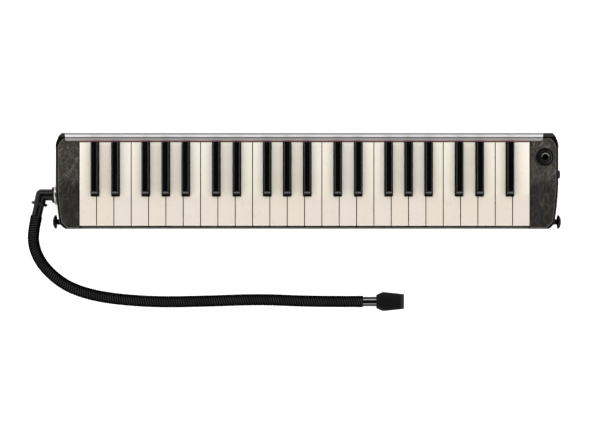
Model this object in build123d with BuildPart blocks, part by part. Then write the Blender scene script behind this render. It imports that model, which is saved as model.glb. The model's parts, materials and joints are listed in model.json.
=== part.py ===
"""A 44-key melodica, lying on its base, with its hose and mouthpiece laid out in front.

Millimetres. X runs along the keyboard with the low notes at -X, Y runs from the player's
side (-Y) to the rear rail (+Y), and Z is up. The origin is the middle of the base.
"""
import math
import os

from build123d import *

os.makedirs("parts", exist_ok=True)

# ---- keyboard ----
key_pitch = 19.5           # one white key to the next
key_gap = 0.8              # air between neighbouring white keys
keys_left = -256.3         # left edge of the first white key's pitch
key_front, key_rear = -50.4, 43.7
key_top = 37.5             # playing surface of the white keys
key_bottom = 30.0          # lower edge of the hollow key mouldings
key_wall = 1.4
skirt_bottom, skirt_back = 22.0, -40.0
notch_front = -17.4        # front edge of a white key's cut-out for its black neighbour
notch_half = 4.75          # half the width of that cut-out
black_sections = [         # height, front edge and half width of a black key, bottom to top
    (38.0, -16.3, 4.35),
    (43.6, -14.6, 3.6),
    (46.3, -11.0, 3.2),
]
black_shoulder, black_front, black_half = black_sections[0]
black_after = {"c": -1.7, "d": 1.9, "f": -3.0, "g": 0.0, "a": 3.0}   # black key off the boundary
white_notes = "cdefgab" * 3 + "cdefg"

# ---- key action ----
pivot_y, pivot_z = 20.0, 26.5
rod_radius, rod_play = 1.5, 0.05
boss_radius, boss_length = 3.4, 6.0
web_half, web_bottom = 1.5, 24.5
pad_front, pad_rear, pad_half = 35.2, 42.8, 3.8
pad_thickness = 2.2
glue = 0.05                # film between a glued piece and what it is glued to

# ---- case ----
base_thickness = 3.0
wall = 2.2
block_top, block_bevel = 36.0, 0.8
panel_thickness, panel_floor = 1.4, 35.0
panel_inset, panel_bevel = 1.3, 0.5        # panel to the front edge; slope round the panel's rim
left_cheek, right_cheek = -257.1, 251.5     # faces of the end blocks beside the keys
front_edge, rear_edge = -54.0, 54.0
lip_front, lip_back, lip_top = -54.0, -51.9, 21.5
rear_wall_front = 51.5
rail_left, rail_right = -272.0, 265.0
rail_front = 45.0
panel_rear = 50.7          # the panels end at the rail's groove

# ---- reed chamber ----
deck = 20.0                # surface that the valve pads close on
chamber_bottom, plate_bottom = 9.0, 7.5
chamber_front, chamber_rear = -2.0, 48.0
chamber_left, chamber_right = -256.1, 250.5
manifold_left = -272.0
shelf_left = chamber_left + 0.4

# ---- fittings ----
inlet_y, inlet_z = -15.4, 18.0
inlet_bore, collar_radius = 4.65, 11.0
collar_face = -285.7
button_y, button_z = 7.9, 15.0
button_radius, button_face = 4.7, 287.5
button_flange = 276.8      # inner face of the button's flange, where its spring presses
jack_x, jack_y = 267.8, 27.0
jack_bore = 3.25
strap_y, strap_z = -46.1, 20.0
strap_head_face = 288.0

# ---- elbow, hose and mouthpiece ----
elbow_corner = Vector(-301.6, inlet_y, inlet_z)
elbow_leg = Vector(-4.5, -20, 0).normalized()
elbow_radius, elbow_bore = 6.5, 3.2
leg_end, ring_end, plug_end = 8.7, 12.1, 24.6     # distances from the corner along the leg
hose_radius, hose_bore = 6.6, 4.8
hose_route = [
    (-307.0, -39.4, 18.0),
    (-311.5, -59.4, 18.0),
    (-310.1, -79.6, 15.9),
    (-302.7, -98.4, 12.1),
    (-290.2, -114.4, 9.0),
    (-273.3, -126.7, 7.2),
    (-250.9, -135.3, 6.8),
    (-219.3, -140.3, 6.8),
    (-171.3, -142.0, 6.8),
    (-113.0, -138.2, 6.8),
    (-55.0, -136.0, 6.8),
    (-5.0, -136.2, 6.8),
    (35.0, -137.0, 6.8),
    (64.0, -137.0, 6.8),
]
stem_radius, stem_bore = 5.5, 3.5
mouth_start, mouth_end = 79.2, 110.9

bottom_up = (Align.CENTER, Align.CENTER, Align.MIN)
along_x = Plane.YZ


def save(name, part):
    """Label a finished piece and write it to its own file."""
    part.label = name
    export_step(part, f"parts/{name}.step")


def block(x0, x1, y0, y1, z0, z1, mode=Mode.ADD):
    """Box between two corners, for use inside a part."""
    with Locations(((x0 + x1) / 2, (y0 + y1) / 2, z0)):
        Box(x1 - x0, y1 - y0, z1 - z0, align=bottom_up, mode=mode)


def blocks(places, half, y0, y1, z0, z1, mode=Mode.ADD):
    """Row of equal boxes centred on the given stations along X, for use inside a part."""
    with Locations(*[(x, (y0 + y1) / 2, z0) for x in places]):
        Box(2 * half, y1 - y0, z1 - z0, align=bottom_up, mode=mode)


def bar_x(x0, x1, y, z, radius, mode=Mode.ADD):
    """Cylinder along X between two stations, for use inside a part."""
    with Locations(Location((x0, y, z), (0, 90, 0))):
        Cylinder(radius, x1 - x0, align=bottom_up, mode=mode)


# ---------------------------------------------------------------- keys

def white_outline(left, left_cut, right_cut, inset):
    """Corner points of a white key's plan, drawn in by inset on every side."""
    x0 = left + key_gap / 2 + inset
    x1 = left + key_pitch - key_gap / 2 - inset
    y0, y1, notch = key_front + inset, key_rear - inset, notch_front - inset
    points = [(x0, y0), (x1, y0)]
    if right_cut:
        tail_right = left + key_pitch - right_cut - inset
        points += [(x1, notch), (tail_right, notch), (tail_right, y1)]
    else:
        points += [(x1, y1)]
    if left_cut:
        tail_left = left + left_cut + inset
        points += [(tail_left, y1), (tail_left, notch), (x0, notch)]
    else:
        points += [(x0, y1)]
    return points


def add_lever(centre, web_front, web_top):
    """Rib, pivot boss and valve arm below a key, with the pad glued under the arm."""
    arm_bottom = deck + pad_thickness + glue
    block(centre - web_half, centre + web_half, web_front, pad_rear, web_bottom, web_top)
    bar_x(centre - boss_length / 2, centre + boss_length / 2, pivot_y, pivot_z, boss_radius)
    block(centre - web_half, centre + web_half, pad_front, pad_rear, arm_bottom, web_top)
    block(centre - pad_half, centre + pad_half, pad_front, pad_rear, arm_bottom, arm_bottom + 1.4)
    hole = rod_radius + rod_play
    bar_x(centre - boss_length, centre + boss_length, pivot_y, pivot_z, hole, Mode.SUBTRACT)
    block(centre - pad_half, centre + pad_half, pad_front, pad_rear, deck, deck + pad_thickness)


def white_key(left, left_cut, right_cut, centre):
    with BuildPart() as key:
        with BuildSketch(Plane.XY.offset(key_bottom)):
            with BuildLine():
                Polyline(*white_outline(left, left_cut, right_cut, 0), close=True)
            make_face()
        extrude(amount=key_top - key_bottom)
        x0, x1 = left + key_gap / 2, left + key_pitch - key_gap / 2
        block(x0, x1, key_front, skirt_back, skirt_bottom, key_bottom)
        front_corners = key.edges().filter_by(Axis.Z).group_by(Axis.Y)[0]
        fillet(front_corners, 0.9)
        fillet(key.faces().sort_by(Axis.Z)[-1].edges(), 0.6)
        with BuildSketch(Plane.XY.offset(skirt_bottom)):
            with BuildLine():
                Polyline(*white_outline(left, left_cut, right_cut, key_wall), close=True)
            make_face()
        extrude(amount=key_top - 2.2 - skirt_bottom, mode=Mode.SUBTRACT)
        add_lever(centre, key_front + key_wall, key_top - 2)
    return key.part


def black_key(centre):
    with BuildPart() as key:
        block(centre - black_half, centre + black_half, black_front, key_rear, key_bottom, black_shoulder)
        for height, front, half in black_sections:
            with BuildSketch(Plane.XY.offset(height)):
                with Locations((centre, (front + key_rear) / 2)):
                    Rectangle(2 * half, key_rear - front)
        loft(ruled=True)
        fillet(key.faces().sort_by(Axis.Z)[-1].edges(), 0.5)
        inner = black_half - key_wall
        block(centre - inner, centre + inner, black_front + key_wall, key_rear - key_wall,
              key_bottom, black_shoulder - 1, Mode.SUBTRACT)
        add_lever(centre, black_front + key_wall, black_shoulder)
        block(centre - web_half, centre + web_half, black_front + key_wall, -11, skirt_bottom, web_bottom)
    return key.part


key_centres = []           # x of every key's lever, low to high
notch_cut = {note: notch_half - shift for note, shift in black_after.items()}
for index, note in enumerate(white_notes):
    octave = index // 7 + 1
    left = keys_left + index * key_pitch
    is_last = index == len(white_notes) - 1
    note_below = white_notes[index - 1] if index else None
    left_cut = black_after[note_below] + notch_half if note_below in black_after else 0
    right_cut = notch_cut[note] if note in black_after and not is_last else 0
    centre = left + (key_pitch + (left_cut or key_gap) - (right_cut or key_gap)) / 2
    save(f"white_key_{note}{octave}", white_key(left, left_cut, right_cut, centre))
    key_centres.append(centre)
    if right_cut:
        black_centre = left + key_pitch + black_after[note]
        save(f"black_key_{note}s{octave}", black_key(black_centre))
        key_centres.append(black_centre)

# ---------------------------------------------------------------- case


def end_outline(side, cheek, inset=0.0, rear=rear_edge, front_inset=None, cheek_inset=None):
    """Plan of one end block, from its cheek beside the keys round its curved outer side."""
    front_inset = inset if front_inset is None else front_inset
    cheek_inset = inset if cheek_inset is None else cheek_inset
    x = [side * (value - inset) for value in (272, 275.8, 278.8, 281.5, 283, 281, 275.5)]
    near = cheek + side * cheek_inset
    front, back = front_edge + front_inset, rear - inset
    with BuildLine() as outline:
        Line((near, front), (x[0], front))
        ThreePointArc((x[0], front), (x[1], -51.2 + inset * 0.7), (x[2], -47 + inset * 0.3))
        ThreePointArc((x[2], -47 + inset * 0.3), (x[3], -26), (x[4], -3))
        Line((x[4], -3), (x[4], 36))
        ThreePointArc((x[4], 36), (x[5], back - 6.2 + inset * 0.5), (x[6], back))
        Line((x[6], back), (near, back))
        Line((near, back), (near, front))
    return outline.edges()


def rail_profile(lift=0.0, with_ledge=True):
    """Section of the rear rail, on a plane across X: flat ledge, groove, then a ridge with a slope."""
    base, ledge, ridge = block_top, 38.6 - lift, 41.2 - lift
    groove = [(48.5, ledge - 1), (49.2, ledge - 1)]
    start = [(rail_front, base), (rail_front, ledge - 0.5), (rail_front + 0.5, ledge), (48.3, ledge)]
    if not with_ledge:
        start = [(48.5, base)]
    with BuildLine() as outline:
        Polyline(*start, *groove, (49.4, ledge + 0.5), (51.7, ridge - 0.3), (52.3, ridge), (53.4, ridge),
                 (rear_edge, ridge - 0.6), (rear_edge, base), close=True)
    return outline.edges()


ends = ((-1, left_cheek), (1, right_cheek))
screw_places = [(x, y) for x in (-273, 268) for y in (-43, 45)] + [(x, -4.5) for x in (-186, -62, 62, 186)]

with BuildPart() as lower_case:
    with BuildSketch():
        for side, cheek in ends:
            make_face(end_outline(side, cheek))
        with Locations(((left_cheek + right_cheek) / 2, (lip_front + rear_edge) / 2)):
            Rectangle(right_cheek - left_cheek, rear_edge - lip_front)
    extrude(amount=base_thickness)
    block(left_cheek, right_cheek, lip_front, lip_back, base_thickness, lip_top)
    fillet(lower_case.edges().filter_by(Axis.X).group_by(Axis.Z)[-1], 0.7)
    block(left_cheek, right_cheek, rear_wall_front, rear_edge, base_thickness, block_top)
    block(left_cheek, right_cheek, lip_back, -44, 12, 14)        # shelf for the white keys' felt
    block(shelf_left, right_cheek, -16.4, -10, 15.4, 17)         # shelf for the black keys' felt
    block(shelf_left, right_cheek, -14, -12.4, base_thickness, 15.4)
    with Locations(*[(x, y, 0) for x, y in screw_places]):
        Hole(1.6, depth=base_thickness * 3)
    with BuildSketch():
        with Locations(*screw_places):
            Circle(3.2)
    extrude(amount=1.8, mode=Mode.SUBTRACT)
save("lower_case", lower_case.part)

with BuildPart() as end_blocks:
    with BuildSketch(Plane.XY.offset(base_thickness)):
        for side, cheek in ends:
            make_face(end_outline(side, cheek))
    extrude(amount=block_top - block_bevel - base_thickness)
    for side, cheek in ends:
        with BuildSketch(Plane.XY.offset(block_top - block_bevel)):
            make_face(end_outline(side, cheek))
        with BuildSketch(Plane.XY.offset(block_top)):
            make_face(end_outline(side, cheek, block_bevel))
        loft()
    with BuildSketch(Plane.XY.offset(base_thickness)):
        for side, cheek in ends:
            make_face(end_outline(side, cheek, wall))
    extrude(amount=33 - base_thickness, mode=Mode.SUBTRACT)
    with BuildSketch(Plane.XY.offset(panel_floor)):
        for side, cheek in ends:
            make_face(end_outline(side, cheek, 2.4, panel_rear, panel_inset - 0.1, -0.5))
    extrude(amount=2, mode=Mode.SUBTRACT)
    for x0, x1 in ((-283.2, rail_left - 0.1), (rail_right + 0.1, 283.2)):
        with BuildSketch(along_x.offset(x0)):
            make_face(rail_profile(0.9, with_ledge=False))
        extrude(amount=x1 - x0)
    with BuildSketch():
        for side, cheek in ends:
            make_face(end_outline(side, cheek))
    extrude(amount=60, mode=Mode.INTERSECT)
    for x, y in screw_places[:4]:
        with Locations((x, y, base_thickness)):
            Cylinder(3.6, 33 - base_thickness, align=bottom_up)
        with Locations((x, y, base_thickness)):
            Cylinder(1.45, 12, align=bottom_up, mode=Mode.SUBTRACT)
    block(left_cheek - 5, left_cheek + 0.5, -26, 34, base_thickness, 27, Mode.SUBTRACT)    # manifold
    bar_x(-290, -278, inlet_y, inlet_z, collar_radius + 0.05, Mode.SUBTRACT)
    bar_x(278, 290, button_y, button_z, button_radius + 0.08, Mode.SUBTRACT)
    bar_x(right_cheek - 1, right_cheek + 5, button_y, button_z, 5.0, Mode.SUBTRACT)
    for side in (-1, 1):
        bar_x(*sorted((side * 276, side * 284)), strap_y, strap_z, 3.3, Mode.SUBTRACT)
    with Locations((jack_x, jack_y, 30)):
        Cylinder(4.8, 10, align=bottom_up, mode=Mode.SUBTRACT)
save("end_blocks", end_blocks.part)

with BuildPart() as end_panels:
    with BuildSketch(Plane.XY.offset(panel_floor)):
        for side, cheek in ends:
            make_face(end_outline(side, cheek, 2.5, panel_rear, panel_inset, 0))
    extrude(amount=panel_thickness - panel_bevel)
    for side, cheek in ends:
        with BuildSketch(Plane.XY.offset(panel_floor + panel_thickness - panel_bevel)):
            make_face(end_outline(side, cheek, 2.5, panel_rear, panel_inset, 0))
        with BuildSketch(Plane.XY.offset(panel_floor + panel_thickness)):
            make_face(end_outline(side, cheek, 2.5 + panel_bevel, panel_rear, panel_inset + panel_bevel, 0))
        loft()
    with Locations((jack_x, jack_y, 30)):
        Cylinder(4.85, 10, align=bottom_up, mode=Mode.SUBTRACT)
save("end_panels", end_panels.part)

with BuildPart() as rear_rail:
    with BuildSketch(along_x.offset(rail_left)):
        make_face(rail_profile())
    extrude(amount=rail_right - rail_left)
    front_corners = rear_rail.edges().filter_by(Axis.Z).group_by(Axis.Y)[0]
    fillet(front_corners, 2.2)
    panel_top = panel_floor + panel_thickness
    for x0, x1 in ((rail_left - 1, left_cheek + 0.1), (right_cheek - 0.1, rail_right + 1)):
        block(x0, x1, rail_front - 1, panel_rear - 2.4, block_top - 1, panel_top + glue, Mode.SUBTRACT)  # rebate
save("rear_rail", rear_rail.part)

with BuildPart() as felt_strips:
    block(left_cheek + 0.4, right_cheek - 0.4, 44.05, rail_front, 36.2, 38.3)      # name felt
    block(left_cheek + 0.4, right_cheek - 0.4, -50.8, -44.4, 14, 16.8)             # under the white keys
    block(shelf_left, right_cheek - 0.4, -16.2, -10.2, 17, 19.2)                   # under the black keys
    fillet(felt_strips.edges().filter_by(Axis.X).group_by(Axis.Z)[-1], 0.3)
save("felt_strips", felt_strips.part)

# ---------------------------------------------------------------- reed chamber and action

comb_places = [(a + b) / 2 for a, b in zip(key_centres, key_centres[1:])]
comb_places = [key_centres[0] - 5] + comb_places + [key_centres[-1] + 5]

with BuildPart() as reed_chamber:
    block(chamber_left, chamber_right, chamber_front, chamber_rear, chamber_bottom, deck)
    block(manifold_left, chamber_left, -24, 30, base_thickness, 25)
    blocks(comb_places, 1.1, pivot_y - 3, pivot_y + 3, deck, 29)
    for x, y in screw_places[4:]:
        with Locations((x, y, base_thickness)):
            Cylinder(3.4, deck - base_thickness, align=bottom_up)
    bar_x(-281.5, manifold_left, inlet_y, inlet_z, 6.6)
    bar_x(collar_face, -281.5, inlet_y, inlet_z, collar_radius)
    bar_x(chamber_right, 264, button_y, button_z, 4.5)
    blocks(key_centres, 3.6, 6, 43, chamber_bottom, 17.5, Mode.SUBTRACT)       # one cell a key
    blocks(key_centres, 2.5, 37, 41, 17.5, deck, Mode.SUBTRACT)                # one valve port a key
    for x, y in screw_places[4:]:
        with Locations((x, y, base_thickness)):
            Cylinder(1.45, 11, align=bottom_up, mode=Mode.SUBTRACT)
    block(manifold_left + 2, chamber_left - 1.5, -22, 28, 4.5, 23, Mode.SUBTRACT)
    block(chamber_left - 2, chamber_left, 10, 24, 4.5, plate_bottom, Mode.SUBTRACT)
    bar_x(collar_face, manifold_left + 3, inlet_y, inlet_z, inlet_bore, Mode.SUBTRACT)
    bar_x(chamber_right - 2, 264, button_y, button_z, 2.2, Mode.SUBTRACT)
    bar_x(comb_places[0] - 2, comb_places[-1] + 2, pivot_y, pivot_z, rod_radius, Mode.SUBTRACT)
    cover_left = chamber_left + glue                             # the reed cover is a solid of its own
    block(cover_left, chamber_right, 0, chamber_rear, base_thickness, plate_bottom - glue)
    block(chamber_left + 2, chamber_right - 2, 3, 46, 4.5, plate_bottom, Mode.SUBTRACT)
    block(chamber_left, chamber_left + 2, 10, 24, 4.5, plate_bottom, Mode.SUBTRACT)
save("reed_chamber", reed_chamber.part)

with BuildPart() as pivot_rod:
    bar_x(comb_places[0] - 1.1, comb_places[-1] + 1.1, pivot_y, pivot_z, rod_radius)
    chamfer(pivot_rod.edges().filter_by(GeomType.CIRCLE), 0.3)
save("pivot_rod", pivot_rod.part)

reed_lengths = [32 - 18 * index / len(key_centres) for index in range(len(key_centres))]
with BuildPart() as reed_plates:
    per_plate = len(key_centres) // 4
    for plate in range(4):
        first, last = plate * per_plate, (plate + 1) * per_plate - 1
        x0 = comb_places[first] + 0.1 if plate else chamber_left
        x1 = comb_places[last + 1] - 0.1 if plate < 3 else chamber_right
        block(x0, x1, 0, chamber_rear, plate_bottom, chamber_bottom)
    with BuildSketch(Plane.XY.offset(plate_bottom)):             # long slots low, short slots high
        for x, length in zip(key_centres, reed_lengths):
            with Locations((x, 8 + length / 2)):
                Rectangle(2.5, length)
    extrude(amount=chamber_bottom - plate_bottom, mode=Mode.SUBTRACT)
    with BuildSketch(Plane.XY.offset(plate_bottom - 0.35)):
        for x, length in zip(key_centres, reed_lengths):
            with Locations((x, 6.4 + length / 2)):
                Rectangle(2.2, length + 2.8)
    extrude(amount=0.35 - glue)
save("reed_plates", reed_plates.part)

coil_radius, coil_wire = 3.2, 0.35
with BuildPart() as springs:
    for x in key_centres:
        with BuildSketch(along_x.offset(x - 2)):
            with BuildLine():
                Polyline((14, deck), (14, deck + 0.4), (10, deck + 0.4), (1, web_bottom - 0.1),
                         (1, web_bottom - 0.5), (10, deck), close=True)
            make_face()
        extrude(amount=4)
    with BuildLine():
        coil = Helix(2.2, 11.8, coil_radius, center=(264.5, button_y, button_z), direction=(1, 0, 0))
    with BuildSketch(Plane(coil @ 0, z_dir=coil % 0)):
        Circle(coil_wire)
    sweep(path=coil)
save("springs", springs.part)

with BuildPart() as case_screws:
    with BuildSketch(Plane.XY.offset(0.4)):
        with Locations(*screw_places):
            Circle(3.0)
    extrude(amount=1.4)
    with BuildSketch(Plane.XY.offset(1.8)):
        with Locations(*screw_places):
            Circle(1.4)
    extrude(amount=10)
    with BuildSketch(Plane.XY.offset(0.4)):
        with Locations(*screw_places):
            Rectangle(3.6, 0.8)
            Rectangle(0.8, 3.6)
    extrude(amount=0.8, mode=Mode.SUBTRACT)
save("case_screws", case_screws.part)

# ---------------------------------------------------------------- fittings

with BuildPart() as strap_pins:
    for side in (-1, 1):
        with BuildSketch(Plane((0, strap_y, strap_z), x_dir=(side, 0, 0), z_dir=(0, -side, 0))):
            with BuildLine():
                Polyline((276, 0), (276, 3.25), (282, 3.25), (283.2, 2.9), (284, 4.2), (284, 7.3), (284.6, 7.9),
                         (285.6, 7.7))
                ThreePointArc((285.6, 7.7), (287.4, 4.8), (strap_head_face, 1.6))
                Polyline((strap_head_face, 1.6), (strap_head_face, 0), (276, 0))
            make_face()
        revolve(axis=Axis((0, strap_y, strap_z), (1, 0, 0)))
save("strap_pins", strap_pins.part)

with BuildPart() as output_jack:
    top = panel_floor + panel_thickness
    with BuildSketch(Plane((jack_x, jack_y, 0), x_dir=(1, 0, 0), z_dir=(0, -1, 0))):
        with BuildLine():
            Polyline((0, 13), (7, 13), (7, 32.9), (4.7, 32.9), (4.7, top), (10.25, top), (10.25, top + 0.8),
                     (9.6, top + 1.5), (8.9, top + 1.5), (8.3, top + 0.6), (7.6, top + 0.6), (7.6, top + 2.2),
                     (6.8, top + 3), (5, top + 3), (5, top + 3.7), (4.6, top + 4.1), (3.8, top + 4.1),
                     (jack_bore, top + 3.6), (jack_bore, 16), (0, 16), close=True)
        make_face()
    revolve(axis=Axis((jack_x, jack_y, 0), (0, 0, 1)))
save("output_jack", output_jack.part)

with BuildPart() as drain_button:
    bar_x(button_flange, button_face, button_y, button_z, button_radius)
    fillet(drain_button.faces().sort_by(Axis.X)[-1].edges(), 1.0)
    bar_x(button_flange, button_flange + 3.6, button_y, button_z, 5.6)
    bar_x(262, button_flange, button_y, button_z, 1.5)
save("drain_button", drain_button.part)

# ---------------------------------------------------------------- elbow, hose, mouthpiece


def on_leg(distance):
    """Plane across the elbow's outlet leg, at a distance from the elbow's corner."""
    return Plane(elbow_corner + elbow_leg * distance, z_dir=elbow_leg)


def leg_bar(start, end, radius, mode=Mode.ADD):
    """Cylinder along the elbow's outlet leg between two distances, for use inside a part."""
    with Locations(on_leg(start).location):
        Cylinder(radius, end - start, align=bottom_up, mode=mode)


flange_radius, ring_radius, spigot_end = 9.15, 9.25, -272.0
with BuildPart() as elbow:
    inlet_end = Vector(-289, inlet_y, inlet_z)
    with BuildLine():
        bend = Polyline(inlet_end, elbow_corner, elbow_corner + elbow_leg * leg_end)
    with BuildSketch(Plane(inlet_end, z_dir=(-1, 0, 0))):
        Circle(elbow_radius)
        Circle(elbow_bore, mode=Mode.SUBTRACT)
    sweep(path=bend, transition=Transition.ROUND)
    bar_x(-289, -286.4, inlet_y, inlet_z, flange_radius)
    fillet(elbow.edges().filter_by(GeomType.CIRCLE).filter_by(lambda e: e.radius > 9), 0.6)
    bar_x(-286.4, spigot_end, inlet_y, inlet_z, inlet_bore - 0.05)
    bar_x(-289, spigot_end, inlet_y, inlet_z, elbow_bore, Mode.SUBTRACT)
    leg_bar(leg_end + glue, ring_end, ring_radius)               # plug that the hose goes on
    ring_rims = elbow.edges().filter_by(GeomType.CIRCLE).filter_by(lambda e: abs(e.radius - ring_radius) < 0.01)
    fillet(ring_rims, 1.5)
    leg_bar(ring_end, plug_end, 5.8)
    leg_bar(leg_end + glue, plug_end, elbow_bore, Mode.SUBTRACT)
save("elbow", elbow.part)


def arc_radius(before, corner, after):
    """Largest radius that the shorter of two runs leaves room for at their corner."""
    run_in, run_out = Vector(corner) - Vector(before), Vector(after) - Vector(corner)
    half_turn = math.radians(run_in.get_angle(run_out) / 2)
    return 0.45 * min(run_in.length, run_out.length) / math.tan(half_turn)


hose_radii = [arc_radius(*hose_route[i - 1:i + 2]) for i in range(1, len(hose_route) - 1)]
print("hose arc radii:", [round(radius, 1) for radius in hose_radii])

with BuildPart() as hose:
    with BuildLine():
        hose_path = FilletPolyline(*hose_route, radius=hose_radii)
    with BuildSketch(on_leg(plug_end)):
        Circle(hose_radius)
        Circle(hose_bore, mode=Mode.SUBTRACT)
    sweep(path=hose_path)
save("hose", hose.part)
section = math.pi * (hose_radius ** 2 - hose_bore ** 2)
print("hose length:", round(hose_path.length, 1), "volume over section x length:",
      round(hose.part.volume / (section * hose_path.length), 4))

mouth_y, mouth_z = hose_route[-1][1:]
mouth_sections = [                                               # x, width, height, corner radius
    (mouth_start, 15.2, 10.8, 5.3),
    (mouth_start + 6.7, 21.6, 12.2, 6.0),
    (mouth_start + 8.3, 21.6, 12.2, 6.0),
    (mouth_start + 8.8, 22.2, 12.8, 6.3),
    (mouth_start + 9.3, 21.6, 12.2, 6.0),
    (mouth_start + 10.8, 21.5, 12.1, 5.9),
    (mouth_end - 3.8, 17.9, 8.2, 4.0),
    (mouth_end, 17.1, 5.6, 2.7),
]
with BuildPart() as mouthpiece:
    for x, width, height, corner in mouth_sections:
        with BuildSketch(Plane((x, mouth_y, mouth_z), x_dir=(0, 1, 0), z_dir=(1, 0, 0))):
            RectangleRounded(width, height, corner)
    loft(ruled=True)
    bar_x(hose_route[-1][0], mouth_start, mouth_y, mouth_z, stem_radius)
    bar_x(hose_route[-1][0], mouth_start + 12, mouth_y, mouth_z, stem_bore, Mode.SUBTRACT)
    block(mouth_start + 8, mouth_end, mouth_y - 5.5, mouth_y + 5.5, mouth_z - 1.6, mouth_z + 1.6, Mode.SUBTRACT)
save("mouthpiece", mouthpiece.part)
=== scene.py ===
"""A 44-key melodica: the looks around its CAD frame, with its hose and mouthpiece in front."""
import math

import bpy
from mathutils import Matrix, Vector
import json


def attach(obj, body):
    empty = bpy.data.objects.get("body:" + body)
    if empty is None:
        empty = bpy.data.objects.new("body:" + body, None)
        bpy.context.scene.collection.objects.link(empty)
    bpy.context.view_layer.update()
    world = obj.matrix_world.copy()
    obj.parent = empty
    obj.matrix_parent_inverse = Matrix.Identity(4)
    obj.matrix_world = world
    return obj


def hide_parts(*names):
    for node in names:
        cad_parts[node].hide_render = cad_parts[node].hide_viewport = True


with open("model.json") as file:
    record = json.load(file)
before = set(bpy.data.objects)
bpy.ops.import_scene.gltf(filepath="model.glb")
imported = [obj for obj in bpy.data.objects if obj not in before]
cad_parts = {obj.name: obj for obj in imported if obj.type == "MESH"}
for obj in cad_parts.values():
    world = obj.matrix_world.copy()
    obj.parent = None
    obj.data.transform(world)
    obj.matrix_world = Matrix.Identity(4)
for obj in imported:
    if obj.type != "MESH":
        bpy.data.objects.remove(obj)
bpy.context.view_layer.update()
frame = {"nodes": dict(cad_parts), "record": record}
nodes = frame["nodes"]
mm = 0.001

# ---------------------------------------------------------------- camera

camera_data = bpy.data.cameras.new("camera")
camera_data.lens = 108.5
camera_data.sensor_width = 36
camera = bpy.data.objects.new("camera", camera_data)
camera.location = Vector((-13.55, -40.5, 2037.5)) * mm
bpy.context.collection.objects.link(camera)
bpy.context.scene.camera = camera
bpy.context.scene.view_settings.view_transform = "Standard"

# ---------------------------------------------------------------- mesh helpers


def add_mesh(name, verts, faces, smooth=True):
    mesh = bpy.data.meshes.new(name)
    mesh.from_pydata([tuple(v) for v in verts], [], faces)
    mesh.validate()
    mesh.polygons.foreach_set("use_smooth", [smooth] * len(mesh.polygons))
    mesh.update()
    piece = bpy.data.objects.new(name, mesh)
    bpy.context.collection.objects.link(piece)
    return piece


def skin(rings, loop=False):
    """Faces over rings of equal point counts, capped at both ends unless the row of rings is a loop."""
    count = len(rings[0])
    verts = [point for ring in rings for point in ring]
    faces = []
    spans = len(rings) if loop else len(rings) - 1
    for i in range(spans):
        a, b = i * count, (i + 1) % len(rings) * count
        for j in range(count):
            k = (j + 1) % count
            faces.append((a + j, a + k, b + k, b + j))
    if not loop:
        faces.append(tuple(reversed(range(count))))
        faces.append(tuple(range(len(verts) - count, len(verts))))
    return verts, faces


def frame_axes(direction):
    """Two directions across a line, for laying rings round it."""
    side = direction.cross(Vector((0, 0, 1))).normalized()
    return side, side.cross(direction).normalized()


def lathe(name, origin, axis, profile):
    """Ring round an axis: profile is a closed loop of (distance along the axis, radius) in mm."""
    segments = 96
    axis = Vector(axis).normalized()
    side, high = frame_axes(axis)
    rings = []
    for j in range(segments):
        angle = 2 * math.pi * j / segments
        out = side * math.cos(angle) + high * math.sin(angle)
        rings.append([(Vector(origin) + axis * along + out * radius) * mm for along, radius in profile])
    return add_mesh(name, *skin(rings, loop=True))


# ---------------------------------------------------------------- hose

hose_points = [
    (-0.3070, -0.0394, 0.0180),
    (-0.3113, -0.0586, 0.0180),
    (-0.3100, -0.0765, 0.0159),
    (-0.3026, -0.0931, 0.0121),
    (-0.2895, -0.1080, 0.0090),
    (-0.2725, -0.1201, 0.0072),
    (-0.2500, -0.1285, 0.0068),
    (-0.2193, -0.1342, 0.0068),
    (-0.1713, -0.1377, 0.0068),
    (-0.1130, -0.1366, 0.0068),
    (-0.0550, -0.1344, 0.0068),
    (-0.0050, -0.1366, 0.0068),
    (0.0350, -0.1370, 0.0068),
    (0.0640, -0.1370, 0.0068),
]
hose_radius = 6.6                           # mm, as are the ribs' pitch and depth
rib_pitch, rib_depth, rib_starts = 2.7, 0.3, 4


def smooth_line(points, name):
    """Points along the NURBS curve that has these control points."""
    data = bpy.data.curves.new(name, "CURVE")
    data.dimensions = "3D"
    data.resolution_u = 48
    spline = data.splines.new("NURBS")
    spline.points.add(len(points) - 1)
    for target, point in zip(spline.points, points):
        target.co = (*point, 1)
    spline.order_u = 3
    spline.use_endpoint_u = True
    curve = bpy.data.objects.new(name, data)
    bpy.context.collection.objects.link(curve)
    mesh = bpy.data.meshes.new_from_object(curve)
    line = [vertex.co.copy() for vertex in mesh.vertices]
    bpy.data.objects.remove(curve)
    return line


def line_length(line):
    return sum((b - a).length for a, b in zip(line, line[1:]))


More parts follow.
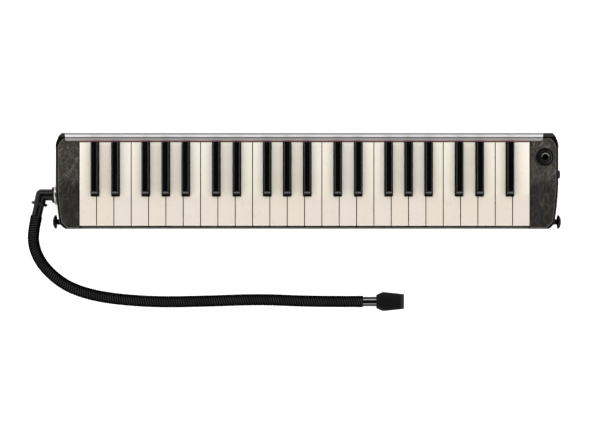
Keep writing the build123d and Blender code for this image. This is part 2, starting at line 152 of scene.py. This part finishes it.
def make_hose(line):
    """Spirally corrugated tube along the line, smooth for a short cuff at each end."""
    total = line_length(line)
    step, around, cuff = 0.36 * mm, 40, 7 * mm
    count = int(total / step)
    stations = []
    travelled, start = 0.0, 0
    lengths = [(b - a).length for a, b in zip(line, line[1:])]
    for i in range(count + 1):
        distance = total * i / count
        while start < len(lengths) - 1 and travelled + lengths[start] < distance:
            travelled += lengths[start]
            start += 1
        a, b = line[start], line[start + 1]
        stations.append((a + (b - a) * ((distance - travelled) / lengths[start]), distance))
    rings = []
    for i, (centre, distance) in enumerate(stations):
        before, after = stations[max(i - 1, 0)][0], stations[min(i + 1, count)][0]
        side, high = frame_axes((after - before).normalized())
        ribbed = min(1, max(0, min(distance, total - distance) - cuff) / (2 * mm))
        ring = []
        for j in range(around):
            angle = 2 * math.pi * j / around
            turn = distance / (rib_pitch * mm) + rib_starts * j / around
            valley = (0.5 + 0.5 * math.cos(2 * math.pi * turn)) ** 2
            radius = (hose_radius - rib_depth * valley * ribbed) * mm
            ring.append(centre + (side * math.cos(angle) + high * math.sin(angle)) * radius)
        rings.append(ring)
    tube = add_mesh("corrugated_hose", *skin(rings))
    winding = tube.data.uv_layers.new(name="winding")            # u round the hose, v along it in mm
    for polygon in tube.data.polygons:
        at_seam = any(tube.data.loops[k].vertex_index % around == around - 1 for k in polygon.loop_indices)
        for k in polygon.loop_indices:
            i, j = divmod(tube.data.loops[k].vertex_index, around)
            u = 1.0 if at_seam and j == 0 else j / around
            winding.data[k].uv = (u, stations[i][1] / mm)
    return tube


hose_line = smooth_line(hose_points, "hose_route")
hose = make_hose(hose_line)
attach(hose, "elbow")
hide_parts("hose")

# ---------------------------------------------------------------- bright ring round the inlet

inlet_place = (-283.0, -15.4, 18.0)         # mm, on the outer face of the left end block
inlet_ring = lathe("inlet_ring", inlet_place, (-1, 0, 0),
                   [(0.2, 11.06), (0, 11.2), (0.1, 11.5), (0.5, 11.75), (2.2, 11.75), (2.8, 11.5), (3.1, 11.0),
                    (3.15, 10.2), (3.1, 9.5), (2.95, 9.35), (2.78, 9.4), (2.75, 10.2), (2.76, 11.06)])
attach(inlet_ring, "case")

# ---------------------------------------------------------------- materials


class Nodes:
    """Short way to write a material's node tree."""

    def __init__(self, name, **inputs):
        self.material = bpy.data.materials.new(name)
        self.material.use_nodes = True
        self.tree = self.material.node_tree
        self.shader = self.tree.nodes["Principled BSDF"]
        for key, value in inputs.items():
            self.shader.inputs[key.replace("_", " ")].default_value = value
        self.coords = self.tree.nodes.new("ShaderNodeTexCoord")
        self.place = self.coords.outputs["Object"]

    def add(self, kind, **settings):
        node = self.tree.nodes.new("ShaderNode" + kind)
        for key, value in settings.items():
            setattr(node, key, value)
        return node

    def link(self, source, target):
        self.tree.links.new(source, target)

    def scaled(self, scale, rotation=(0, 0, 0)):
        """Object coordinates stretched by a scale on each axis."""
        node = self.add("Mapping")
        node.inputs["Scale"].default_value = scale
        node.inputs["Rotation"].default_value = rotation
        self.link(self.place, node.inputs["Vector"])
        return node.outputs["Vector"]

    def noise(self, scale, detail=4.0, roughness=0.55, distortion=0.0, vector=None):
        node = self.add("TexNoise")
        settings = {"Scale": scale, "Detail": detail, "Roughness": roughness, "Distortion": distortion}
        for key, value in settings.items():
            node.inputs[key].default_value = value
        self.link(vector or self.place, node.inputs["Vector"])
        return node.outputs["Fac"]

    def axis(self, name):
        node = self.add("SeparateXYZ")
        self.link(self.place, node.inputs["Vector"])
        return node.outputs[name]

    def facing(self, axis):
        """How squarely the surface faces along an axis of its own frame, from 0 to 1."""
        node = self.add("SeparateXYZ")
        self.link(self.coords.outputs["Normal"], node.inputs["Vector"])
        return self.math("ABSOLUTE", node.outputs[axis])

    def sideways(self, up=0.75, across=0.35):
        """0 where the piece faces up or down in its own frame, 1 where it faces sideways."""
        return self.span(self.facing("Z"), up, across)

    def ramp(self, source, stops):
        node = self.add("ValToRGB")
        elements = node.color_ramp.elements
        while len(elements) < len(stops):
            elements.new(0.5)
        for element, (position, colour) in zip(elements, stops):
            element.position = position
            element.color = (*colour, 1) if isinstance(colour, tuple) else (colour, colour, colour, 1)
        self.link(source, node.inputs["Fac"])
        return node.outputs["Color"]

    def span(self, source, low, high, to_low=0.0, to_high=1.0):
        node = self.add("MapRange")
        for key, value in (("From Min", low), ("From Max", high), ("To Min", to_low), ("To Max", to_high)):
            node.inputs[key].default_value = value
        self.link(source, node.inputs["Value"])
        return node.outputs["Result"]

    def mix(self, fac, a, b, blend="MIX"):
        node = self.add("Mix", data_type="RGBA", blend_type=blend)
        for index, value in ((0, fac), (6, a), (7, b)):
            if hasattr(value, "is_linked"):
                self.link(value, node.inputs[index])
            else:
                node.inputs[index].default_value = value if index == 0 else (*value, 1)
        return node.outputs[2]

    def math(self, operation, a, b=0.0):
        node = self.add("Math", operation=operation)
        for index, value in enumerate((a, b)):
            if hasattr(value, "is_linked"):
                self.link(value, node.inputs[index])
            else:
                node.inputs[index].default_value = value
        return node.outputs[0]

    def colour(self, source):
        self.link(source, self.shader.inputs["Base Color"])

    def roughness(self, source):
        self.link(source, self.shader.inputs["Roughness"])

    def polish(self, low, high):
        """Polished plastic: faint wear on the faces that look up or down, duller sides, a fine skin."""
        wear = self.span(self.noise(120, 8, 0.75, 0.4), 0.35, 0.7, low, high)
        self.roughness(self.math("ADD", wear, self.math("MULTIPLY", self.sideways(), 0.45)))
        self.bump(self.noise(900, 3), 0.01, 0.4)

    def bump(self, source, depth_mm, strength=1.0):
        node = self.add("Bump")
        node.inputs["Strength"].default_value = strength
        node.inputs["Distance"].default_value = depth_mm * mm
        self.link(source, node.inputs["Height"])
        previous = self.shader.inputs["Normal"].links
        if previous:
            self.link(previous[0].from_socket, node.inputs["Normal"])
        self.link(node.outputs["Normal"], self.shader.inputs["Normal"])


def srgb(red, green, blue):
    """Linear colour from the usual 0 to 255 values."""
    def linear(value):
        value /= 255
        return value / 12.92 if value <= 0.04045 else ((value + 0.055) / 1.055) ** 2.4
    return linear(red), linear(green), linear(blue)


keys_left, key_pitch = -0.257, 0.0195
jack_x, jack_y = 0.2678, 0.0270


def ivory():
    """White keys: a warm ivory plastic, each key a shade off its neighbour, with painted light making it
    lighter towards the rear and painted shade browning its sides.
    """
    m = Nodes("ivory_keys", Coat_Weight=0.25, Coat_Roughness=0.12,
              Subsurface_Weight=0.04, Subsurface_Scale=0.003)
    length = m.span(m.axis("Y"), -0.050, 0.044)
    # Painted light: the keys are painted lighter towards the rear and darker at the front.
    tone = m.ramp(length, [(0.0, srgb(229, 220, 210)), (0.30, srgb(230, 221, 210)),
                           (0.42, srgb(243, 236, 222)), (0.7, srgb(251, 244, 231)), (1.0, srgb(252, 246, 234))])
    from_left = m.math("ADD", m.axis("X"), -keys_left)
    key_number = m.math("FLOOR", m.math("MULTIPLY", from_left, 1 / key_pitch))
    shade = m.add("TexWhiteNoise", noise_dimensions="1D")
    m.link(key_number, shade.inputs["W"])
    off = m.ramp(shade.outputs["Value"], [(0.0, (1.0, 0.98, 0.93)), (0.5, (0.985, 0.975, 0.94)),
                                          (1.0, (1, 0.985, 0.99))])
    tone = m.mix(0.8, tone, off, "MULTIPLY")
    mottled = m.mix(m.span(m.noise(28, 5), 0.3, 0.7, 0, 0.08), tone, srgb(219, 210, 192))
    # Painted shade: the key sides, seen in the gaps between keys, are painted dark brown.
    painted_gap_shade = m.span(m.facing("X"), 0.7, 0.95, 0.0, 0.75)
    m.colour(m.mix(painted_gap_shade, mottled, srgb(66, 54, 44)))
    m.roughness(m.span(m.noise(90, 6, 0.7), 0.3, 0.7, 0.24, 0.38))
    m.bump(m.noise(1400, 2), 0.012, 0.5)
    m.bump(m.noise(60, 2), 0.05, 0.25)
    return m.material


def polished_black(name, tint, rough, gloss):
    """Moulded black plastic with faint wear in its polish."""
    m = Nodes(name, Specular_IOR_Level=gloss)
    m.colour(m.mix(m.noise(40, 5), srgb(*tint), srgb(*[value + 6 for value in tint])))
    m.polish(*rough)
    return m.material


def end_block_black():
    """End blocks: polished black, with a painted grey highlight on the rail's ridge where it carries on across
    them and a painted highlight on the front rim.
    """
    m = Nodes("end_block_black", Specular_IOR_Level=0.2)
    top = m.span(m.facing("Z"), 0.4, 0.7)
    # Painted highlight: the top of the ridge carried on from the rail is painted grey.
    ridge = m.math("MULTIPLY", top, m.span(m.axis("Y"), 0.0494, 0.0500))
    # Painted highlight: the top of the front rim is painted light grey.
    rim = m.math("MULTIPLY", top, m.span(m.axis("Y"), -0.0530, -0.0534))
    ground = m.mix(m.noise(40, 5), srgb(8, 8, 8), srgb(14, 14, 14))
    m.colour(m.mix(rim, m.mix(ridge, ground, srgb(46, 45, 43)), srgb(112, 108, 102)))
    m.polish(0.14, 0.26)
    return m.material


def piano_black():
    """Black keys: deep black, with painted grey highlights on the sloping nose and along the long edges."""
    m = Nodes("black_keys", Specular_IOR_Level=0.04)
    # Painted highlight: a grey band across the sloping nose and lines along the long top edges.
    slope = m.math("MULTIPLY", m.sideways(0.985, 0.95), m.math("SUBTRACT", 1.0, m.sideways(0.5, 0.3)))
    nose = m.math("MULTIPLY", m.span(m.axis("Y"), -0.0119, -0.0126), m.span(m.axis("Y"), -0.0146, -0.0134))
    painted_edge_highlight = m.math("MULTIPLY", slope, m.math("MAXIMUM", nose, m.span(m.facing("X"), 0.3, 0.4)))
    ground = m.mix(m.noise(40, 5), srgb(5, 5, 5), srgb(12, 12, 12))
    m.colour(m.mix(painted_edge_highlight, ground, srgb(104, 101, 96)))
    m.polish(0.1, 0.22)
    return m.material


def satin_black():
    """Reed chamber: moulded black plastic with a fine spark-eroded texture."""
    m = Nodes("chamber_black", Specular_IOR_Level=0.25)
    m.colour(m.mix(m.noise(70, 5), srgb(26, 26, 25), srgb(35, 35, 34)))
    m.roughness(m.span(m.noise(200, 6, 0.7), 0.3, 0.7, 0.32, 0.5))
    m.bump(m.noise(1500, 3, 0.6), 0.02, 0.8)
    return m.material


def marbled():
    """End panels: a grey-brown sheet with cloudy veins and a fine leather grain."""
    m = Nodes("marbled_panel", Specular_IOR_Level=0.35, Coat_Weight=0.08, Coat_Roughness=0.25)
    clouds = m.noise(120, 8, 0.62, 2.2, vector=m.scaled((1.0, 0.62, 1.0), (0, 0, 0.7)))
    veins = m.noise(210, 7, 0.6, 3.4, vector=m.scaled((1.0, 0.45, 1.0), (0, 0, 0.5)))
    ground = m.ramp(clouds, [(0.34, srgb(15, 14, 12)), (0.46, srgb(29, 27, 24)), (0.54, srgb(46, 43, 39)),
                             (0.66, srgb(84, 81, 75))])
    brown = m.ramp(veins, [(0.42, srgb(19, 16, 13)), (0.5, srgb(64, 60, 54)), (0.58, srgb(18, 18, 15))])
    tone = m.mix(0.38, ground, brown)
    # Painted light: the sheet is painted lighter towards the rear and darker at the front.
    rear = m.span(m.axis("Y"), -0.006, 0.002)
    sheet = m.mix(rear, m.mix(1.0, tone, (0.62, 0.60, 0.57), "MULTIPLY"),
                  m.mix(1.0, tone, (1.85, 1.87, 1.86), "MULTIPLY"))
    m.colour(m.mix(m.sideways(0.97, 0.8), sheet, srgb(120, 117, 110)))       # painted highlight on the bevelled rim
    m.roughness(m.span(clouds, 0.3, 0.7, 0.34, 0.55))
    cells = m.add("TexVoronoi", feature="SMOOTH_F1")
    cells.inputs["Scale"].default_value = 900
    m.link(m.place, cells.inputs["Vector"])
    m.bump(cells.outputs["Distance"], 0.06, 0.5)
    m.bump(clouds, 0.12, 0.4)
    return m.material


def drawn_aluminium():
    """Rear rail: drawn along its length, with painted shade in the groove behind its ledge and a painted white
    highlight on the front slope of its ridge.
    """
    m = Nodes("drawn_aluminium", Metallic=0.12, Specular_IOR_Level=0.35)
    across = m.span(m.axis("Y"), 0.045, 0.054)
    # Painted light across the rail: the dark band is painted shade in the groove, the white band a painted
    # highlight on the ridge's front slope.
    tone = m.ramp(across, [(0.0, srgb(154, 151, 150)), (0.36, srgb(162, 159, 158)), (0.38, srgb(60, 58, 56)),
                           (0.46, srgb(70, 68, 66)), (0.48, srgb(255, 255, 255)), (0.76, srgb(255, 255, 255)),
                           (0.81, srgb(140, 140, 140)), (1.0, srgb(134, 133, 132))])
    streaks = m.noise(60, 6, 0.7, vector=m.scaled((0.4, 60, 60)))
    m.colour(m.mix(m.span(streaks, 0.3, 0.7, 0, 0.3), tone, srgb(120, 118, 116)))
    m.roughness(m.span(streaks, 0.3, 0.7, 0.6, 0.72))
    m.bump(streaks, 0.01, 0.6)
    return m.material


def felt():
    """Felt strips: matted red fibres."""
    m = Nodes("red_felt", Roughness=0.95, Sheen_Weight=0.5, Sheen_Roughness=0.5)
    fibres = m.noise(1600, 8, 0.8, 2.0)
    m.colour(m.mix(m.span(fibres, 0.3, 0.7), srgb(80, 30, 24), srgb(132, 60, 47)))
    m.bump(fibres, 0.25, 1.0)
    return m.material


def case_plastic():
    """Lower case: grey-brown moulded plastic, its front lip lighter."""
    m = Nodes("case_plastic", Specular_IOR_Level=0.3)
    grain = m.noise(1100, 4, 0.7)
    tone = m.mix(m.noise(35, 6), srgb(38, 36, 33), srgb(56, 53, 49))
    front = m.math("MULTIPLY", m.span(m.axis("Y"), -0.0521, -0.0525), m.span(m.axis("Z"), 0.0196, 0.0206))
    m.colour(m.mix(front, tone, srgb(124, 121, 116)))
    m.roughness(m.span(m.noise(150, 6, 0.7), 0.3, 0.7, 0.35, 0.5))
    m.bump(grain, 0.03, 0.7)
    return m.material


def metal(name, tint):
    """Machined metal with faint tool marks."""
    m = Nodes(name, Metallic=1.0)
    marks = m.noise(400, 5, 0.7, vector=m.scaled((1, 1, 3)))
    m.colour(m.mix(m.span(marks, 0.3, 0.7, 0, 0.6), srgb(*tint), srgb(*[int(value * 0.8) for value in tint])))
    m.roughness(m.span(marks, 0.3, 0.7, 0.2, 0.4))
    m.bump(marks, 0.01, 0.5)
    return m.material


def ribbed_rubber():
    """Hose: dull black, with a painted highlight along the crest of each turn of its spiral, painted shade in
    the valleys between and on the sides.
    """
    m = Nodes("hose_black", Specular_IOR_Level=0.01)
    winding = m.add("SeparateXYZ")
    m.link(m.coords.outputs["UV"], winding.inputs["Vector"])
    turn = m.math("ADD", m.math("MULTIPLY", winding.outputs["Y"], 1 / rib_pitch),
                  m.math("MULTIPLY", winding.outputs["X"], rib_starts))
    wave = m.math("COSINE", m.math("MULTIPLY", turn, 2 * math.pi))
    # Painted highlight on each rib's crest, painted shade in the valleys between.
    crest = m.mix(m.span(wave, 0.5, -0.7), srgb(2, 2, 2), srgb(50, 50, 49))
    crest_highlight_and_wear = m.mix(m.span(m.noise(60, 5), 0.35, 0.65, 0.0, 0.5), crest, srgb(16, 16, 16))
    # Painted shade: the hose's sides are painted black.
    m.colour(m.mix(m.sideways(0.94, 0.7), crest_highlight_and_wear, srgb(2, 2, 2)))
    dull = m.span(m.noise(300, 6, 0.7), 0.3, 0.7, 0.34, 0.5)
    m.roughness(m.math("ADD", dull, m.math("MULTIPLY", m.sideways(), 0.4)))
    m.bump(m.noise(900, 3, 0.6), 0.03, 0.8)
    return m.material


def mouthpiece_plastic():
    """Mouthpiece: fine-textured black with a painted highlight on the lip at its tip, its stem polished and
    painted with two light highlight streaks.
    """
    m = Nodes("mouthpiece_black", Specular_IOR_Level=0.04)
    stem = m.span(m.axis("X"), 0.0795, 0.0790)
    body = m.mix(m.noise(70, 5), srgb(15, 15, 15), srgb(27, 27, 27))
    # Painted highlight on the bevelled lip at the tip.
    lip = m.span(m.axis("X"), 0.1068, 0.1074)
    body = m.mix(lip, body, srgb(44, 44, 44))
    # Painted highlight: two light streaks along the polished stem.
    across = m.facing("Y")
    line = m.math("MULTIPLY", m.span(across, 0.30, 0.42), m.span(across, 0.66, 0.54))
    stem_with_painted_highlights = m.mix(line, srgb(30, 30, 30), srgb(128, 128, 127))
    m.colour(m.mix(stem, body, stem_with_painted_highlights))
    m.link(m.math("MULTIPLY", stem, 0.9), m.shader.inputs["Metallic"])
    m.roughness(m.span(stem, 0, 1, 0.42, 0.16))
    m.bump(m.noise(1500, 3, 0.6), 0.02, 0.8)
    return m.material


def jack_plastic():
    """Output jack: black plastic round a bushing, with a painted highlight on the rear half of the bushing's
    rim.
    """
    m = Nodes("jack_black", Specular_IOR_Level=0.4)
    out = m.add("VectorMath", operation="DISTANCE")
    m.link(m.scaled((1, 1, 0)), out.inputs[0])
    out.inputs[1].default_value = (jack_x, jack_y, 0)
    radius = out.outputs["Value"]
    # Painted highlight: a bright crescent on the rear half of the bushing's rim.
    ring = m.math("MULTIPLY", m.span(radius, 0.0046, 0.0044), m.span(radius, 0.0034, 0.0036))
    rim = m.math("MULTIPLY", ring, m.span(m.axis("Y"), 0.0262, 0.0300))
    m.colour(m.mix(rim, m.mix(m.noise(90, 5), srgb(9, 9, 9), srgb(22, 22, 22)), srgb(128, 128, 126)))
    m.roughness(m.span(m.noise(160, 6, 0.7), 0.3, 0.7, 0.16, 0.34))
    m.bump(m.noise(900, 3), 0.01, 0.5)
    return m.material


materials = {
    "white_key": ivory(),
    "black_key": piano_black(),
    "case": case_plastic(),
    "end_block": end_block_black(),
    "end_panel": marbled(),
    "rail": drawn_aluminium(),
    "felt": felt(),
    "chamber": satin_black(),
    "steel": metal("bright_steel", (196, 195, 192)),
    "brass": metal("rolled_brass", (205, 172, 98)),
    "fitting": polished_black("fitting_black", (4, 4, 4), (0.14, 0.26), 0.06),
    "jack": jack_plastic(),
    "elbow": polished_black("elbow_black", (5, 5, 5), (0.12, 0.24), 0.25),
    "hose": ribbed_rubber(),
    "mouthpiece": mouthpiece_plastic(),
}


def dress(piece, slot):
    piece.data.materials.clear()
    piece.data.materials.append(materials[slot])


for subpart in frame["record"]["subparts"]:
    dress(nodes[subpart["node"]], subpart["material_slot"])
dress(hose, "hose")
dress(inlet_ring, "steel")

# ---------------------------------------------------------------- stage and light

floor_size = 3.0
floor_corners = [(x * floor_size, y * floor_size, 0) for x, y in ((-1, -1), (1, -1), (1, 1), (-1, 1))]
floor = add_mesh("floor", floor_corners, [(0, 1, 2, 3)], smooth=False)
floor_look = Nodes("floor", Roughness=0.9, Emission_Color=(1, 1, 1, 1), Emission_Strength=0.7)
floor_look.colour(floor_look.mix(floor_look.noise(3), (0.93, 0.93, 0.93), (0.96, 0.96, 0.96)))
floor.data.materials.append(floor_look.material)

world = bpy.data.worlds.new("studio")
bpy.context.scene.world = world
world.use_nodes = True
sky = world.node_tree
direction = sky.nodes.new("ShaderNodeTexCoord")
height = sky.nodes.new("ShaderNodeSeparateXYZ")
dome = sky.nodes.new("ShaderNodeValToRGB")          # bright ring of ceiling light, dark straight above
levels = ((0.0, 0.17), (0.28, 0.2), (0.5, 0.8), (0.8, 0.8), (0.91, 0.015))
while len(dome.color_ramp.elements) < len(levels):
    dome.color_ramp.elements.new(0.5)
for element, (position, level) in zip(dome.color_ramp.elements, levels):
    element.position = position
    element.color = (level, level, level, 1)
sky.links.new(direction.outputs["Generated"], height.inputs["Vector"])
sky.links.new(height.outputs["Z"], dome.inputs["Fac"])
sky.links.new(dome.outputs["Color"], sky.nodes["Background"].inputs["Color"])
sky.nodes["Background"].inputs["Strength"].default_value = 1.8


def softbox(name, place, size, power):
    """Area light that faces the origin."""
    data = bpy.data.lights.new(name, "AREA")
    data.shape = "RECTANGLE"
    data.size, data.size_y = size
    data.energy = power
    light = bpy.data.objects.new(name, data)
    light.location = place
    light.rotation_euler = (-Vector(place)).to_track_quat("-Z", "Y").to_euler()
    bpy.context.collection.objects.link(light)


softbox("rear_softbox", (0, 1.2, 1.6), (2.4, 0.6), 7)
softbox("left_softbox", (-1.4, -0.3, 1.5), (0.6, 1.6), 3)
softbox("right_softbox", (1.4, 0.2, 1.5), (0.6, 1.6), 2.5)
